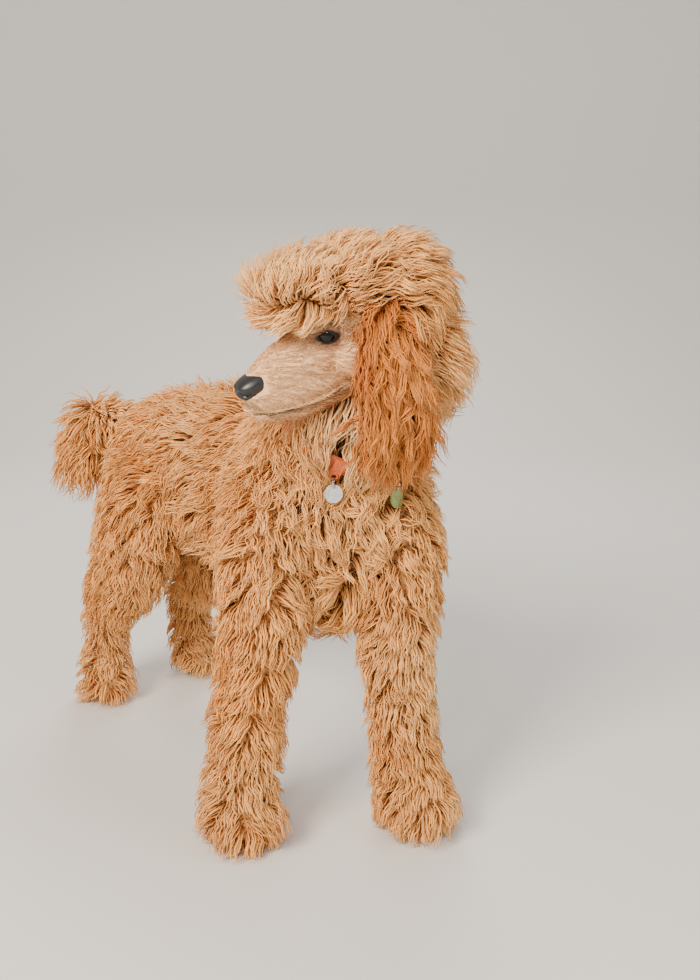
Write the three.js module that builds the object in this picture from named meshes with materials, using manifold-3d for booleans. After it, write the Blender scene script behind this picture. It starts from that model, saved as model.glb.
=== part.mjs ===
// A standing standard poodle, a young dog in a full curly puppy coat, life size, in millimetres.
// +Z is up and the dog faces -Y, with its chest turned a little and its head turned far to its
// right (-X). The origin is on the floor under the middle of the whole model. Flesh and coat are
// modelled whole from lofted forms, then parted into named nodes by thin cuts.
import * as THREE from "three";
import { LoftGeometry } from "three/addons/geometries/LoftGeometry.js";
import { mergeVertices } from "three/addons/utils/BufferGeometryUtils.js";
import Module from "manifold-3d";

const wasm = await Module();
wasm.setup();

// Driving dimensions.
const CHEST_HALF_WIDTH = 138; // over the shoulders, with the coat
const CHEST_HALF_DEPTH = 148; // withers to brisket, with the coat
const FRONT_TURN = 33; // degrees the chest is turned to the dog's right of its hips
const GAP = 0.3; // clear space between touching nodes
const HEAD_TURN = 103; // degrees, to the dog's right
const HEAD_DROP = 20; // degrees, nose down
const HEAD_ROLL = 8; // degrees, crown towards the dog's left
const MUZZLE_LENGTH = 115; // eyes to nose tip, along the head
const EYE_RADIUS = 12;
const COLLAR_WIDTH = 20;
const COLLAR_THICK = 3;
const TAG_THICK = 2;

const COLOURS = {
  coat: 0xd9a066,
  ear: 0xc47a38,
  black: 0x0d0c0d,
  eye: 0x1a0d07,
  strap: 0x121214,
  keeper: 0xe2542a,
  silver: 0xa9a89a,
  green: 0xa7b86a,
};

const DEGREES = Math.PI / 180;
const point = (x, y, z) => new THREE.Vector3(x, y, z);
const ONE = point(1, 1, 1);
const X_AXIS = point(1, 0, 0);
const Y_AXIS = point(0, 1, 0);
const Z_AXIS = point(0, 0, 1);

// The middle of the model's box, which the finished nodes are moved back from.
const MIDDLE = point(5, -18, 0);

// The head is modelled level, facing -Y, round the middle point between its eyes, and then turned.
const HEAD_AT = point(-42.8, -319.8, 652.4);
const HEAD_PLACE = new THREE.Matrix4().compose(
  HEAD_AT,
  new THREE.Quaternion().setFromEuler(
    new THREE.Euler(HEAD_DROP * DEGREES, HEAD_ROLL * DEGREES, -HEAD_TURN * DEGREES, "ZXY"),
  ),
  ONE,
);

// The chest's own frame: +X to the dog's left across it and +Y to its back.
const CHEST_AT = point(32, -246, 0);
const CHEST_PLACE = new THREE.Matrix4().compose(
  CHEST_AT,
  new THREE.Quaternion().setFromAxisAngle(Z_AXIS, -FRONT_TURN * DEGREES),
  ONE,
);

// Turns a closed geometry into a solid that can be joined and cut.
function solid(geometry, place) {
  const plain = geometry.index ? geometry.toNonIndexed() : geometry.clone();
  const bare = new THREE.BufferGeometry();
  bare.setAttribute("position", plain.getAttribute("position"));
  if (place) bare.applyMatrix4(place);
  const merged = mergeVertices(bare, 1e-3);
  return new wasm.Manifold(
    new wasm.Mesh({
      numProp: 3,
      vertProperties: merged.attributes.position.array,
      triVerts: new Uint32Array(merged.index.array),
    }),
  );
}

const join = (solids) => solids.reduce((all, one) => all.add(one));

// Keeps only the largest closed body of a solid.
function largest(made) {
  const bodies = made.decompose();
  return bodies.reduce((best, one) => (one.volume() > best.volume() ? one : best));
}

// A box from its lowest to its highest corner.
function box(low, high, place) {
  const size = point(high[0] - low[0], high[1] - low[1], high[2] - low[2]);
  const geometry = new THREE.BoxGeometry(size.x, size.y, size.z);
  geometry.translate((low[0] + high[0]) / 2, (low[1] + high[1]) / 2, (low[2] + high[2]) / 2);
  return solid(geometry, place);
}

// All space on the side of a plane that its normal points to.
function side(at, normal, offset = 0) {
  const far = 2000;
  const turn = new THREE.Quaternion().setFromUnitVectors(Z_AXIS, normal.clone().normalize());
  const place = new THREE.Matrix4().compose(at, turn, ONE);
  return box([-far, -far, offset], [far, far, far], place);
}

// A smooth run through stations of centre, half width and half depth. Half width is measured along
// the reference direction.
function runOf(stations, reference = X_AXIS, shrink = 0) {
  const path = new THREE.CatmullRomCurve3(
    stations.map((s) => s.at),
    false,
    "centripetal",
  );
  const sizes = new THREE.CatmullRomCurve3(
    stations.map((s) => point(s.wide, s.deep, 0)),
    false,
    "centripetal",
  );
  return (t) => {
    const u = THREE.MathUtils.clamp(t, 0, 1);
    const along = path.getTangent(u);
    const across = reference.clone().addScaledVector(along, -reference.dot(along)).normalize();
    const up = new THREE.Vector3().crossVectors(along, across).normalize();
    const size = sizes.getPoint(u);
    return { at: path.getPoint(u), along, across, up, wide: size.x - shrink, deep: size.y - shrink };
  };
}

const END_ANGLES = [25, 58]; // where the rings of a round end lie, as angles of a quarter circle

// A closed, round-ended form along its stations. Above 2, squareness makes its section boxier.
function limb(stations, options = {}) {
  const { sides = 14, rows = 8, reference = X_AXIS, shrink = 0, squareness = 2 } = options;
  const shape = runOf(stations, reference, shrink);
  const first = stations[0];
  const last = stations[stations.length - 1];
  const rings = [];
  const bulge = (value) => Math.sign(value) * Math.abs(value) ** (2 / squareness);
  const ring = (t, share, shift) => {
    const s = shape(t);
    const centre = s.at.clone().addScaledVector(s.along, shift);
    const points = [];
    for (let i = 0; i < sides; i++) {
      const angle = (i / sides) * 2 * Math.PI;
      const spot = centre.clone();
      spot.addScaledVector(s.across, s.wide * share * bulge(Math.cos(angle)));
      spot.addScaledVector(s.up, s.deep * share * bulge(Math.sin(angle)));
      points.push(spot);
    }
    rings.push(points);
  };
  const startReach = (first.reach ?? Math.min(first.wide, first.deep) * 0.8) - shrink;
  const endReach = (last.reach ?? Math.min(last.wide, last.deep) * 0.8) - shrink;
  for (const a of END_ANGLES)
    ring(0, Math.sin(a * DEGREES), -startReach * Math.cos(a * DEGREES));
  for (let i = 0; i <= rows; i++) ring(i / rows, 1, 0);
  for (const a of [...END_ANGLES].reverse())
    ring(1, Math.sin(a * DEGREES), endReach * Math.cos(a * DEGREES));
  return new LoftGeometry(rings, { capStart: true, capEnd: true });
}

function ball(at, radii, across = 16, down = 12) {
  const geometry = new THREE.SphereGeometry(1, across, down);
  geometry.scale(radii[0], radii[1], radii[2]);
  geometry.translate(at[0], at[1], at[2]);
  return geometry;
}

const smaller = (radii, shrink) => radii.map((r) => r - shrink);

// The trunk, from the rump forward along the bowed spine to the point of the chest.
const trunkStations = [
  { at: point(0, 203, 410), wide: 84, deep: 99, reach: 44 },
  { at: point(16, 125, 412), wide: 94, deep: 126 },
  { at: point(38, 25, 408), wide: 105, deep: 144 },
  { at: point(50, -70, 407), wide: 114, deep: 146 },
  { at: point(52, -142, 405), wide: 126, deep: CHEST_HALF_DEPTH },
  { at: point(40, -205, 404), wide: CHEST_HALF_WIDTH, deep: CHEST_HALF_DEPTH },
  { at: point(14, -256, 402), wide: CHEST_HALF_WIDTH - 4, deep: CHEST_HALF_DEPTH - 8, reach: 58 },
];

// The neck, from the shoulders up to the skull.
const neckStations = [
  { at: point(34, -180, 430), wide: 104, deep: 104 },
  { at: point(36, -235, 496), wide: 102, deep: 96 },
  { at: point(42, -283, 562), wide: 88, deep: 84 },
  { at: point(52, -318, 622), wide: 78, deep: 76 },
];

// The forelegs, from the shoulder down to the paw. The left paw stands ahead of the right one.
const rightForeStations = [
  { at: point(-66, -222, 395), wide: 66, deep: 68 },
  { at: point(-79, -246, 321), wide: 60, deep: 64 },
  { at: point(-88, -246, 256), wide: 54, deep: 56 },
  { at: point(-98, -239, 190), wide: 50, deep: 52 },
  { at: point(-103, -235, 121), wide: 50, deep: 51 },
  { at: point(-109, -233, 70), wide: 53, deep: 56 },
  { at: point(-112, -238, 36), wide: 57, deep: 64, reach: 40 },
];
const leftForeStations = [
  { at: point(88, -288, 395), wide: 64, deep: 68 },
  { at: point(76, -312, 321), wide: 57, deep: 62 },
  { at: point(70, -320, 250), wide: 50, deep: 54 },
  { at: point(73, -326, 180), wide: 46, deep: 50 },
  { at: point(78, -329, 110), wide: 48, deep: 50 },
  { at: point(83, -334, 66), wide: 51, deep: 56 },
  { at: point(87, -342, 34), wide: 54, deep: 64, reach: 38 },
];

// The hind legs, from the hip down and back over the hock to the paw. The left one stands a little
// farther back.
const thighStations = (way) => [
  { at: point(way * 44, 150, 400), wide: 62, deep: 104 },
  { at: point(way * 62, 158, 330), wide: 60, deep: 102 },
  { at: point(way * 74, 186, 255), wide: 52, deep: 86 },
  { at: point(way * 79, 232, 195), wide: 46, deep: 66 },
];
const HIND_STEP = 14;
const shankStations = (way) => {
  const back = way > 0 ? HIND_STEP : 0;
  return [
    { at: point(way * 76, 228, 222), wide: 44, deep: 56 },
    { at: point(way * 79, 266 + back, 155), wide: 43, deep: 46 },
    { at: point(way * 81, 275 + back, 90), wide: 42, deep: 42 },
    { at: point(way * 87, 270 + back, 58), wide: 46, deep: 48 },
    { at: point(way * 89, 264 + back, 34), wide: 48, deep: 56, reach: 38 },
  ];
};

// The tail, held back and up and swung a little to the dog's right, and the plume round its end.
const tailStations = [
  { at: point(0, 215, 458), wide: 28, deep: 28 },
  { at: point(-14, 268, 456), wide: 33, deep: 34 },
  { at: point(-44, 318, 452), wide: 42, deep: 44 },
];
const plumeStations = [
  { at: point(-80, 352, 378), wide: 28, deep: 26, reach: 30 },
  { at: point(-68, 344, 428), wide: 50, deep: 42 },
  { at: point(-58, 338, 478), wide: 40, deep: 36, reach: 36 },
];

// Head forms, round the point between the eyes.
const muzzleStations = [
  { at: point(0, 40, -24), wide: 45, deep: 42 },
  { at: point(0, -16, -28), wide: 36, deep: 39 },
  { at: point(0, -54, -33), wide: 27, deep: 36 },
  { at: point(0, -80, -38), wide: 21, deep: 29 },
  { at: point(0, -94, -38), wide: 18, deep: 24, reach: 11 },
];
const jawStations = [
  { at: point(0, 62, -52), wide: 38, deep: 30 },
  { at: point(0, 8, -66), wide: 26, deep: 22 },
  { at: point(0, -48, -74), wide: 19, deep: 15 },
  { at: point(0, -78, -70), wide: 14, deep: 12 },
  { at: point(0, -90, -66), wide: 11, deep: 10, reach: 7 },
];
// The edge of the upper lip, from the nose back to the corner of the mouth.
const lipStations = (way) => [
  { at: point(way * 6, -103, -57), wide: 3, deep: 3 },
  { at: point(way * 18, -84, -64), wide: 3.4, deep: 3.4 },
  { at: point(way * 24, -56, -67), wide: 3.6, deep: 3.6 },
  { at: point(way * 29, -30, -67), wide: 3.4, deep: 3.4 },
  { at: point(way * 31, -5, -63), wide: 2.6, deep: 2.6 },
];
const earStations = (way) => [
  { at: point(way * 50, 60, 8), wide: 16, deep: 30 },
  { at: point(way * 67, 44, -40), wide: 19, deep: 42 },
  { at: point(way * 75, 34, -90), wide: 21, deep: 47 },
  { at: point(way * 72, 28, -135), wide: 18, deep: 44, reach: 34 },
];
// Middles and radii of the round forms of the topknot, from the brow back to the nape.
const CROWN = [
  [[0, 0, 48], [70, 78, 38]],
  [[0, 52, 42], [76, 60, 46]],
  [[0, 86, 6], [84, 78, 72]],
  [[4, 104, -78], [66, 58, 76]],
];
const EYE_AT = (way) => point(way * 27, -2, 0);
const EYE_FACING = (way) => point(way * 0.84, -0.54, 0.05).normalize();
const NOSE_AT = [0, -MUZZLE_LENGTH + 15, -30];

function trunkForms(shrink) {
  return [
    solid(limb(trunkStations, { sides: 20, rows: 10, shrink, squareness: 2.4 })),
    ...[1, -1].map((way) => solid(limb(thighStations(way), { rows: 5, shrink }))),
    ...[1, -1].map((way) => solid(limb(shankStations(way), { sides: 12, rows: 6, shrink }))),
    solid(limb(rightForeStations, { sides: 12, rows: 8, shrink })),
    solid(limb(leftForeStations, { sides: 12, rows: 8, shrink })),
    solid(limb(tailStations, { sides: 10, rows: 4, shrink })),
    solid(limb(plumeStations, { sides: 12, rows: 5, shrink })),
    solid(limb(neckStations, { sides: 16, rows: 5, shrink })),
  ];
}

// An almond rim round the eye, set across the way that the eye looks.
function lid(way) {
  const geometry = new THREE.TorusGeometry(EYE_RADIUS, 2.6, 6, 16);
  geometry.scale(1.08, 0.72, 1);
  const facing = EYE_FACING(way);
  const acrossLid = new THREE.Vector3().crossVectors(Z_AXIS, facing).normalize();
  const upLid = new THREE.Vector3().crossVectors(facing, acrossLid);
  const at = EYE_AT(way).addScaledVector(facing, EYE_RADIUS * 0.62);
  geometry.applyMatrix4(new THREE.Matrix4().makeBasis(acrossLid, upLid, facing).setPosition(at));
  return solid(geometry, HEAD_PLACE);
}

function faceForms() {
  return [
    solid(ball([0, 56, -4], [50, 66, 44]), HEAD_PLACE),
    solid(limb(muzzleStations, { sides: 16, rows: 8, squareness: 2.3 }), HEAD_PLACE),
    solid(limb(jawStations, { sides: 12, rows: 6 }), HEAD_PLACE),
    solid(limb(lipStations(1), { sides: 6, rows: 6 }), HEAD_PLACE),
    solid(limb(lipStations(-1), { sides: 6, rows: 6 }), HEAD_PLACE),
    lid(1),
    lid(-1),
  ];
}

function crownForms(shrink) {
  return CROWN.map(([at, radii]) => solid(ball(at, smaller(radii, shrink)), HEAD_PLACE));
}

const ear = (way, grow = 0) =>
  solid(limb(earStations(way), { sides: 12, rows: 6, shrink: -grow }), HEAD_PLACE);

// The hollow of the ear, on the side that lies to the cheek.
const earCup = (way) => solid(ball([way * 48, 42, -46], [12, 22, 40], 12, 8), HEAD_PLACE);

const eye = (way, grow = 0) => {
  const r = EYE_RADIUS + grow;
  return solid(ball(EYE_AT(way).toArray(), [r, r, r], 18, 12), HEAD_PLACE);
};

const nose = (grow = 0) =>
  solid(ball(NOSE_AT, smaller([16, 15, 14], -grow), 18, 12), HEAD_PLACE);
const nostril = (way) =>
  solid(ball([way * 7.5, -MUZZLE_LENGTH + 3, -31], [3.2, 7, 2.8], 10, 8), HEAD_PLACE);

// The collar is a strap round the neck, at this share of the way up it.
const COLLAR_SHARE = 0.5;
const COLLAR_INSET = 7; // how deep the strap presses into the neck's coat
const neckRun = runOf(neckStations);

// A strap-shaped ring round the neck: how far it stands in and out of the strap's own inner face.
function strapRing(inner, outer, halfWidth) {
  const s = neckRun(COLLAR_SHARE);
  const sections = [];
  const turns = 28;
  for (let i = 0; i < turns; i++) {
    const angle = (i / turns) * 2 * Math.PI;
    const spot = (reach, shift) => {
      const place = s.at.clone().addScaledVector(s.along, shift);
      place.addScaledVector(s.across, (s.wide - COLLAR_INSET + reach) * Math.cos(angle));
      place.addScaledVector(s.up, (s.deep - COLLAR_INSET + reach) * Math.sin(angle));
      return place;
    };
    sections.push([
      spot(inner, -halfWidth),
      spot(inner, halfWidth),
      spot(outer, halfWidth),
      spot(outer, -halfWidth),
    ]);
  }
  sections.push(sections[0]);
  return solid(new LoftGeometry(sections));
}

// The frame on the strap's outer face at an angle round the neck: outwards is +Z and up it is +Y.
function strapPlace(angle) {
  const s = neckRun(COLLAR_SHARE);
  const wide = s.wide - COLLAR_INSET + COLLAR_THICK;
  const deep = s.deep - COLLAR_INSET + COLLAR_THICK;
  const at = s.at.clone();
  at.addScaledVector(s.across, wide * Math.cos(angle * DEGREES));
  at.addScaledVector(s.up, deep * Math.sin(angle * DEGREES));
  const out = s.across.clone().multiplyScalar(Math.cos(angle * DEGREES) / wide);
  out.addScaledVector(s.up, Math.sin(angle * DEGREES) / deep).normalize();
  const across = new THREE.Vector3().crossVectors(s.along, out).normalize();
  return new THREE.Matrix4().makeBasis(across, s.along.clone(), out).setPosition(at);
}

// The frame of what hangs from a fitting's loop: +Y is straight up and +Z out of the coat.
function hangPlace(place, halfHigh) {
  const at = point(0, -halfHigh - 3, HANG_OUT).applyMatrix4(place);
  const out = point(0, 0, 1).transformDirection(place);
  out.z = 0;
  out.normalize();
  const across = new THREE.Vector3().crossVectors(Z_AXIS, out);
  const tilt = new THREE.Matrix4().makeRotationX(-HANG_LEAN * DEGREES);
  return new THREE.Matrix4().makeBasis(across, Z_AXIS, out).setPosition(at).multiply(tilt);
}

const KEEPER_ANGLE = 233;
const BUCKLE_ANGLE = 287;
const FITTING_THICK = 3;
const HANG_OUT = GAP + FITTING_THICK; // how far out of the strap's face the loop stands
const HANG_LEAN = 8; // degrees that the ring and tag lean out at their foot, on the coat

// A flat fitting on the strap with a small loop under it.
function fitting(place, halfWide, halfHigh, grow = 0) {
  const low = [-halfWide - grow, -halfHigh - grow, GAP - grow];
  const high = [halfWide + grow, halfHigh + grow, GAP + FITTING_THICK + grow];
  const loop = new THREE.TorusGeometry(4.5, 1.6 + grow, 8, 16);
  loop.translate(0, -halfHigh - 3, HANG_OUT);
  return join([box(low, high, place), solid(loop, place)]);
}

// The split ring through the loop, and the round blank tag that hangs from it.
const RING_RADIUS = 6;
function tagRing(place, halfHigh, grow = 0) {
  const ring = new THREE.TorusGeometry(RING_RADIUS, 1.1 + grow, 8, 18);
  ring.rotateY(Math.PI / 2);
  ring.translate(0, -1 - RING_RADIUS, 0);
  return solid(ring, hangPlace(place, halfHigh));
}
function tagDisc(place, halfHigh, radius, grow = 0) {
  const disc = new THREE.CylinderGeometry(radius + grow, radius + grow, TAG_THICK + 2 * grow, 28);
  disc.rotateX(Math.PI / 2);
  disc.translate(0, -1 - 2 * RING_RADIUS - radius + 3.5, 0);
  return solid(disc, hangPlace(place, halfHigh));
}

// The chest's frame holds the boxes that part the forelegs from it.
function foreRegion(way, grow) {
  const inner = way > 0 ? 26 : 34;
  const low = way > 0 ? [inner - grow, -260, -50] : [-260, -260, -50];
  const high = way > 0 ? [260, 82 + grow, 330 + grow] : [-inner + grow, 82 + grow, 330 + grow];
  return box(low, high, CHEST_PLACE);
}

function hindRegion(way, grow) {
  const slope = side(point(way * 60, 100, 330), point(way * 0.3, 0.6, -0.74), -grow);
  const half = side(point(way * 8, 0, 0), point(way, 0, 0), -grow);
  const behind = side(point(0, 40, 0), Y_AXIS, -grow);
  return slope.intersect(half).intersect(behind);
}

const above = (height, grow) => side(point(0, 0, height), Z_AXIS, -grow);
const below = (height, grow) => side(point(0, 0, height), point(0, 0, -1), -grow);

const HALF = GAP / 2;
const HOCK_CUT = 212; // height of the cut between thigh and lower hind leg

// Parts everything under the throat into the trunk, the tail and the legs.
function partTrunk(made, nodes) {
  let torso = made;
  const take = (name, region) => {
    nodes[name] = torso.intersect(region(-HALF));
    torso = torso.subtract(region(HALF));
  };
  take("tail", (grow) =>
    side(point(0, 250, 450), point(-0.12, 1, 0), -grow).intersect(above(326, grow)));
  take("foreleg_right", (grow) => foreRegion(-1, grow));
  take("foreleg_left", (grow) => foreRegion(1, grow));
  for (const [way, word] of [[-1, "right"], [1, "left"]]) {
    take(`hindleg_${word}`, (grow) => hindRegion(way, grow).intersect(below(HOCK_CUT, grow)));
    take(`thigh_${word}`, (grow) => hindRegion(way, grow));
  }
  nodes.torso = torso;
}

// Joins the whole animal, takes out the room of what it wears, and parts it.
function animal(worn) {
  const floor = side(point(0, 0, 0), Z_AXIS);
  const whole = join([...trunkForms(0), ...faceForms(), ...crownForms(0)]).intersect(floor);
  const slot = strapRing(0 - GAP, 60, COLLAR_WIDTH / 2 + GAP);
  const holes = [ear(1, GAP), ear(-1, GAP), eye(1, GAP), eye(-1, GAP), nose(GAP), slot, ...worn];
  const rest = whole.subtract(join(holes));

  const nape = point(0, 84, -42).applyMatrix4(HEAD_PLACE);
  const napeWay = point(-34, 18, 42);
  const throat = point(36, -226, 486);
  const throatWay = point(6, -54, 66);
  const headSide = side(nape, napeWay, HALF);
  const neckBelow = side(nape, napeWay.clone().negate(), HALF);
  const neckAbove = side(throat, throatWay, HALF);
  const trunkSide = side(throat, throatWay.clone().negate(), HALF);
  const nodes = {};
  nodes.head = rest.intersect(neckAbove).intersect(headSide);
  nodes.neck = rest.intersect(neckAbove).intersect(neckBelow);
  partTrunk(rest.intersect(trunkSide), nodes);
  return nodes;
}

const poodle = new THREE.Group();

function addNode(name, made, colour, finish = {}) {
  const mesh = largest(made).getMesh();
  const places = new Float32Array(mesh.numVert * 3);
  for (let i = 0; i < mesh.numVert; i++)
    places.set(mesh.vertProperties.subarray(i * mesh.numProp, i * mesh.numProp + 3), i * 3);
  const geometry = new THREE.BufferGeometry();
  geometry.setAttribute("position", new THREE.BufferAttribute(places, 3));
  geometry.setIndex(new THREE.BufferAttribute(new Uint32Array(mesh.triVerts), 1));
  geometry.translate(-MIDDLE.x, -MIDDLE.y, -MIDDLE.z);
  geometry.computeVertexNormals();
  const material = new THREE.MeshStandardMaterial({ color: colour, roughness: 0.9, ...finish });
  const node = new THREE.Mesh(geometry, material);
  node.name = name;
  poodle.add(node);
}

// What the dog wears. Each piece leaves its own room in the coat and in its neighbours.
const KEEPER = { place: strapPlace(KEEPER_ANGLE), halfWide: 7, halfHigh: 11, radius: 11 };
const BUCKLE = { place: strapPlace(BUCKLE_ANGLE), halfWide: 9, halfHigh: 12, radius: 13 };
const fittingOf = (piece, grow) => fitting(piece.place, piece.halfWide, piece.halfHigh, grow);
const ringOf = (piece, grow) => tagRing(piece.place, piece.halfHigh, grow);
const discOf = (piece, grow) => tagDisc(piece.place, piece.halfHigh, piece.radius, grow);
const worn = [KEEPER, BUCKLE].flatMap((piece) => [
  fittingOf(piece, GAP),
  ringOf(piece, GAP),
  discOf(piece, GAP),
]);

for (const [name, made] of Object.entries(animal(worn))) addNode(name, made, COLOURS.coat);
addNode("ear_left", ear(1).subtract(earCup(1)), COLOURS.ear);
addNode("ear_right", ear(-1).subtract(earCup(-1)), COLOURS.ear);
addNode("eye_left", eye(1), COLOURS.eye, { roughness: 0.1 });
addNode("eye_right", eye(-1), COLOURS.eye, { roughness: 0.1 });
const nostrils = join([nostril(1), nostril(-1)]);
addNode("nose", nose().subtract(nostrils), COLOURS.black, { roughness: 0.4 });
addNode("collar", strapRing(0, COLLAR_THICK, COLLAR_WIDTH / 2), COLOURS.strap);
addNode("collar_keeper", fittingOf(KEEPER, 0), COLOURS.keeper, { roughness: 0.5 });
addNode("collar_buckle", fittingOf(BUCKLE, 0), COLOURS.black, { roughness: 0.4 });
const silver = { roughness: 0.35, metalness: 0.9 };
for (const [piece, word, colour] of [[KEEPER, "grey", COLOURS.silver], [BUCKLE, "green", COLOURS.green]]) {
  addNode(`tag_ring_${word}`, ringOf(piece, 0).subtract(fittingOf(piece, GAP)), COLOURS.silver, silver);
  addNode(`tag_${word}`, discOf(piece, 0).subtract(ringOf(piece, GAP)), colour, { roughness: 0.4 });
}

export default poodle;
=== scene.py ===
import math

import bmesh
import bpy
import numpy as np
from mathutils import Matrix, Vector
from mathutils.kdtree import KDTree


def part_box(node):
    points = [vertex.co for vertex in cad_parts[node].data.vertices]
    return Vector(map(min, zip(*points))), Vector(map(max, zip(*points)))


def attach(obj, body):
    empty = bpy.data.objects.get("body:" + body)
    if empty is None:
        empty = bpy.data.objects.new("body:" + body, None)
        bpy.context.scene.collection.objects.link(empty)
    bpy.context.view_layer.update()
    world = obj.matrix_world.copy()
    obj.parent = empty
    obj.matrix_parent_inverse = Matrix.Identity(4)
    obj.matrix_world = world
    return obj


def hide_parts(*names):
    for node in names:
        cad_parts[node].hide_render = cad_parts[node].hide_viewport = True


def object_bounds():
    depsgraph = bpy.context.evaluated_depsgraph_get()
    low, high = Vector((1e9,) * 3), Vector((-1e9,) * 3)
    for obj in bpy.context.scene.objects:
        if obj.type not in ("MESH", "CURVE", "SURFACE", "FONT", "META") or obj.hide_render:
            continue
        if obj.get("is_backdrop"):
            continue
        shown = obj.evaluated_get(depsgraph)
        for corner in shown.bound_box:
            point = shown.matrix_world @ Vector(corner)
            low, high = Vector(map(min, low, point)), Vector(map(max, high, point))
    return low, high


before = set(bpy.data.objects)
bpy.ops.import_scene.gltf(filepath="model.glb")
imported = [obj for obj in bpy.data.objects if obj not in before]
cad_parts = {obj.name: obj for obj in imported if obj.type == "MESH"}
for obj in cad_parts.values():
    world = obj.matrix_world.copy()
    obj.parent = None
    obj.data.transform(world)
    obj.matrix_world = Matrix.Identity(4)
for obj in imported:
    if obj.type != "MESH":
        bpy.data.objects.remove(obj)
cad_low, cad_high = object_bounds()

# The skin of the body: one closed hide under the wool, from the chest to the rump, down the legs
# to the paws and out along the tail. It is drawn as round forms along each limb, sunk by the
# depth of the wool, and fused into one smooth surface.
MM = 0.001
MIDDLE = np.array((5.0, -18.0, 0.0))
SIDES = {"left": 1, "right": -1}
WOOL = {"torso": 30, "neck": 36, "leg": 25, "tail": 22, "plume": 34}
HIND_STEP = 14

# Each row is a place on a limb's middle line, in millimetres from a point on the floor under the
# dog, and the half width and half depth that the limb has there with its wool.
TRUNK = [
    (0, 203, 410, 84, 99),
    (16, 125, 412, 94, 126),
    (38, 25, 408, 105, 144),
    (50, -70, 407, 114, 146),
    (52, -142, 405, 126, 148),
    (40, -205, 404, 138, 148),
    (14, -256, 402, 134, 140),
]
NECK = [
    (34, -180, 430, 104, 104),
    (36, -235, 496, 102, 96),
    (42, -283, 562, 88, 84),
    (52, -318, 622, 78, 76),
]
FORE_RIGHT = [
    (-50, -214, 440, 58, 66),
    (-68, -230, 385, 64, 68),
    (-79, -246, 321, 60, 64),
    (-88, -246, 256, 54, 56),
    (-98, -239, 190, 50, 52),
    (-103, -235, 121, 50, 51),
    (-109, -233, 70, 53, 56),
    (-112, -238, 36, 57, 64),
]
FORE_LEFT = [
    (84, -268, 440, 56, 66),
    (86, -292, 385, 62, 68),
    (76, -312, 321, 57, 62),
    (70, -320, 250, 50, 54),
    (73, -326, 180, 46, 50),
    (78, -329, 110, 48, 50),
    (83, -334, 66, 51, 56),
    (87, -342, 34, 54, 64),
]
THIGH = [
    (44, 150, 400, 62, 104),
    (62, 158, 330, 60, 102),
    (74, 186, 255, 52, 86),
    (79, 232, 195, 46, 66),
]
SHANK = [
    (76, 228, 222, 44, 56),
    (79, 266, 155, 43, 46),
    (81, 275, 90, 42, 42),
    (87, 270, 58, 46, 48),
    (89, 264, 34, 48, 56),
]
TAIL = [(0, 215, 458, 28, 28), (-14, 268, 456, 33, 34), (-44, 318, 452, 42, 44)]
PLUME = [(-80, 352, 378, 28, 26), (-68, 344, 428, 50, 42), (-58, 338, 478, 40, 36)]


def on_side(rows, way):
    """The same rows on the left side, where way is 1, or on the right side, where it is -1."""
    return [(x * way, *rest) for x, *rest in rows]


def shank(way):
    """The rows of one lower hindleg; the left one stands a step further back."""
    back = HIND_STEP if way == SIDES["left"] else 0
    knee, *rest = on_side(SHANK, way)
    return [knee, *[(x, y + back, *sizes) for x, y, *sizes in rest]]


def smooth_run(rows, steps):
    """Points of a smooth line through rows, each with its direction."""
    rows = np.array(rows, float)
    padded = np.vstack([2 * rows[0] - rows[1], rows, 2 * rows[-1] - rows[-2]])
    found = []
    for i in range(len(rows) - 1):
        a, b, c, d = padded[i : i + 4]
        for t in np.arange(steps) / steps:
            found.append(
                0.5 * (2 * b + (c - a) * t + (2 * a - 5 * b + 4 * c - d) * t**2
                       + (3 * b - a - 3 * c + d) * t**3)
            )
    found.append(rows[-1])
    found = np.array(found)
    return found, np.gradient(found[:, :3], axis=0)


def axes_along(way):
    """Square axes for a form: across it, up from it, and along the way that it points."""
    along = way / np.linalg.norm(way)
    across = np.array((1.0, 0.0, 0.0)) - along * along[0]
    across /= np.linalg.norm(across)
    return np.stack([across, np.cross(along, across), along])


def limb_forms(region, rows, wool, steps=6, first=20.0, between=16.0, last=20.0, least=9.0):
    """Round forms along a limb, each as region, centre, axes, half sizes and the wool's depth.

    first, between and last are half lengths, and least is the smallest other half size.
    """
    line, ways = smooth_run(rows, steps)
    lengths = [first] + [between] * (len(line) - 2) + [last]
    forms = []
    for row, way, length in zip(line, ways, lengths):
        inner = np.array((max(row[3] - wool, least), max(row[4] - wool, least), length))
        forms.append((region, row[:3], axes_along(way), inner, np.full(3, wool)))
    return forms


def unit_ball(across, up):
    """A ball of radius 1 with the given segments, and its vertices' places."""
    bm = bmesh.new()
    bmesh.ops.create_uvsphere(bm, u_segments=across, v_segments=up, radius=1)
    return bm, np.array([vert.co for vert in bm.verts])


def linked(name, data):
    """A new object in the scene, at the origin, unturned and unscaled."""
    made = bpy.data.objects.new(name, data)
    bpy.context.scene.collection.objects.link(made)
    return made


def values_of(items, field, width, kind=float):
    """One field of a mesh's items, in rows of width numbers."""
    values = np.empty(len(items) * width, kind)
    items.foreach_get(field, values)
    return values.reshape(-1, width)


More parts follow.
